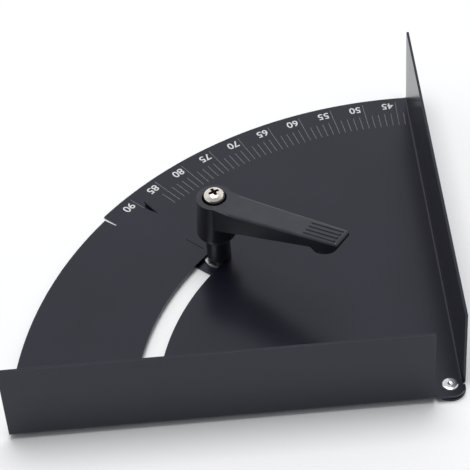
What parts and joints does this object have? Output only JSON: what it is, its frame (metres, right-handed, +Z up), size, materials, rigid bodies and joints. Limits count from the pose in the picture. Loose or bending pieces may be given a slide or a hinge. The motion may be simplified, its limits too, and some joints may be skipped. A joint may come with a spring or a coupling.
{
  "type": "adjustable angle square",
  "caption": "Hinged square of flanged black sheet leaves with an engraved degree scale, an arc slot and an indexing clamp lever.",
  "frame": {"origin": "middle of the whole square's foot: centre of the overall box in plan, at the fixed leaf's underside", "axes": "+Z up from the surface the square lies on, +Y along the fixed leaf's flange away from the pivot, +X out of the fixed leaf's flange face; the swinging leaf's flange runs along -X in the square position"},
  "size_m": [0.1936, 0.197, 0.0483],
  "materials": {
    "sheet": "smooth satin black coating with pale engraved lines",
    "rivet": "bright nickel-plated steel",
    "washer": "zinc-plated steel",
    "stud": "zinc-plated steel",
    "insert": "blackened steel",
    "screw": "bright nickel-plated steel",
    "spring": "spring steel wire",
    "handle": "fine matt moulded texture"
  },
  "bodies": {
    "base": {"base_leaf": "sheet", "pivot_rivet": "rivet", "pivot_washer": "washer", "clamp_stud": "stud", "clamp_washer": "washer"},
    "swing": {"swing_leaf": "sheet"},
    "lever_core": {"lever_insert": "insert", "lever_screw": "screw", "lever_spring": "spring"},
    "handle": {"lever_handle": "handle"}
  },
  "joints": [
    {"name": "leaf_swing", "type": "hinge", "parent": "base", "child": "swing", "pos_m": [0.0898, -0.0915, 0.0026], "axis": [0, 0, 1], "range_deg": [-41.9, 0]},
    {"name": "lever_turn", "type": "hinge", "parent": "base", "child": "lever_core", "pos_m": [-0.00295, -0.00256, 0.00325], "axis": [0, 0, 1], "range_deg": [0, 150]},
    {"name": "handle_lift", "type": "slide", "parent": "lever_core", "child": "handle", "axis": [0, 0, 1], "range_m": [0, 0.004], "stiffness_N_per_m": 1500, "springref_m": -0.002, "deforming": ["lever_spring"]}
  ]
}
